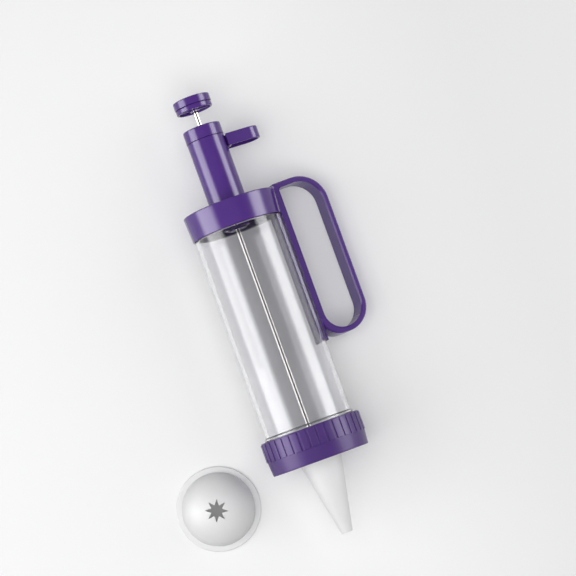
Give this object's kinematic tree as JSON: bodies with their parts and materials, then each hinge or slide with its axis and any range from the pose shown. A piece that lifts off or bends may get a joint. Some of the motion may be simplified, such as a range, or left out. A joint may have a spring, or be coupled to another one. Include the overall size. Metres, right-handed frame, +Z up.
{
  "type": "cake decorating syringe",
  "caption": "Icing syringe: clear barrel, threaded handle end with hand loop and thumb lever, knob-topped piston rod, screw ring, round tip, and a spare star tip lying beside it.",
  "frame": {"origin": "Middle of the table area that the syringe and its spare tip take up, on the table.", "axes": "+Z up from the table, +Y along the syringe from its nozzle to its thumb knob, +X towards the hand loop. The syringe's own axis leans 0.9 degrees, lower at the knob, because the screw ring is wider than the collar."},
  "size_m": [0.1705, 0.307, 0.0692],
  "materials": {
    "clear_plastic": "clear polished",
    "gloss_purple": "gloss moulded",
    "satin_purple": "satin moulded",
    "white_plastic": "satin moulded",
    "bright_steel": "polished",
    "steel": "plain",
    "soft_rubber": "matt",
    "dark_rubber": "matt"
  },
  "bodies": {
    "barrel": {"barrel": "clear_plastic"},
    "round_tip": {"round_tip": "white_plastic"},
    "screw_ring": {"screw_ring": "satin_purple"},
    "rod_grip": {"rod_grip_ring": "dark_rubber"},
    "handle": {"handle_body": "gloss_purple", "tower_cap": "gloss_purple", "grip_retainer": "gloss_purple", "spring_washer": "steel", "return_spring": "steel"},
    "thumb_lever": {"thumb_lever": "gloss_purple", "drive_plate": "steel"},
    "plunger": {"plunger_rod": "bright_steel", "knob_body": "gloss_purple", "knob_cover": "gloss_purple", "knob_nut": "steel", "piston_disc": "white_plastic", "piston_seal": "soft_rubber", "piston_washer": "steel", "piston_nut": "steel", "piston_lock_nut": "steel"},
    "star_tip": {"star_tip": "white_plastic"}
  },
  "joints": [
    {"name": "tip_travel", "type": "slide", "parent": "barrel", "child": "round_tip", "axis": [0, -0.9999, 0.0158], "range_m": [0, 0.008]},
    {"name": "ring_turn", "type": "hinge", "parent": "round_tip", "child": "screw_ring", "pos_m": [0.02087, -0.10305, 0.03485], "axis": [0, -0.9999, 0.0158], "range_deg": [0, 720]},
    {"name": "handle_travel", "type": "slide", "parent": "barrel", "child": "rod_grip", "axis": [0, 0.9999, -0.0158], "range_m": [0, 0.008]},
    {"name": "handle_turn", "type": "hinge", "parent": "rod_grip", "child": "handle", "pos_m": [0.02087, 0.06073, 0.03226], "axis": [0, 0.9999, -0.0158], "range_deg": [0, 720]},
    {"name": "lever_push", "type": "slide", "parent": "handle", "child": "thumb_lever", "axis": [0, -0.9999, 0.0158], "range_m": [0, 0.02], "stiffness_N_per_m": 250, "springref_m": -0.004, "deforming": ["return_spring"]},
    {"name": "plunger_slide", "type": "slide", "parent": "handle", "child": "plunger", "axis": [0, 0.9999, -0.0158], "range_m": [-0.002, 0.145]},
    {"name": "star_tip_lift", "type": "slide", "parent": "barrel", "child": "star_tip", "axis": [0, 0, 1], "range_m": [0, 0.06]}
  ],
  "couplings": [
    {"joint": "tip_travel", "follows": "ring_turn", "m_per_rad": 0.00063662},
    {"joint": "handle_travel", "follows": "handle_turn", "m_per_rad": 0.00063662}
  ]
}
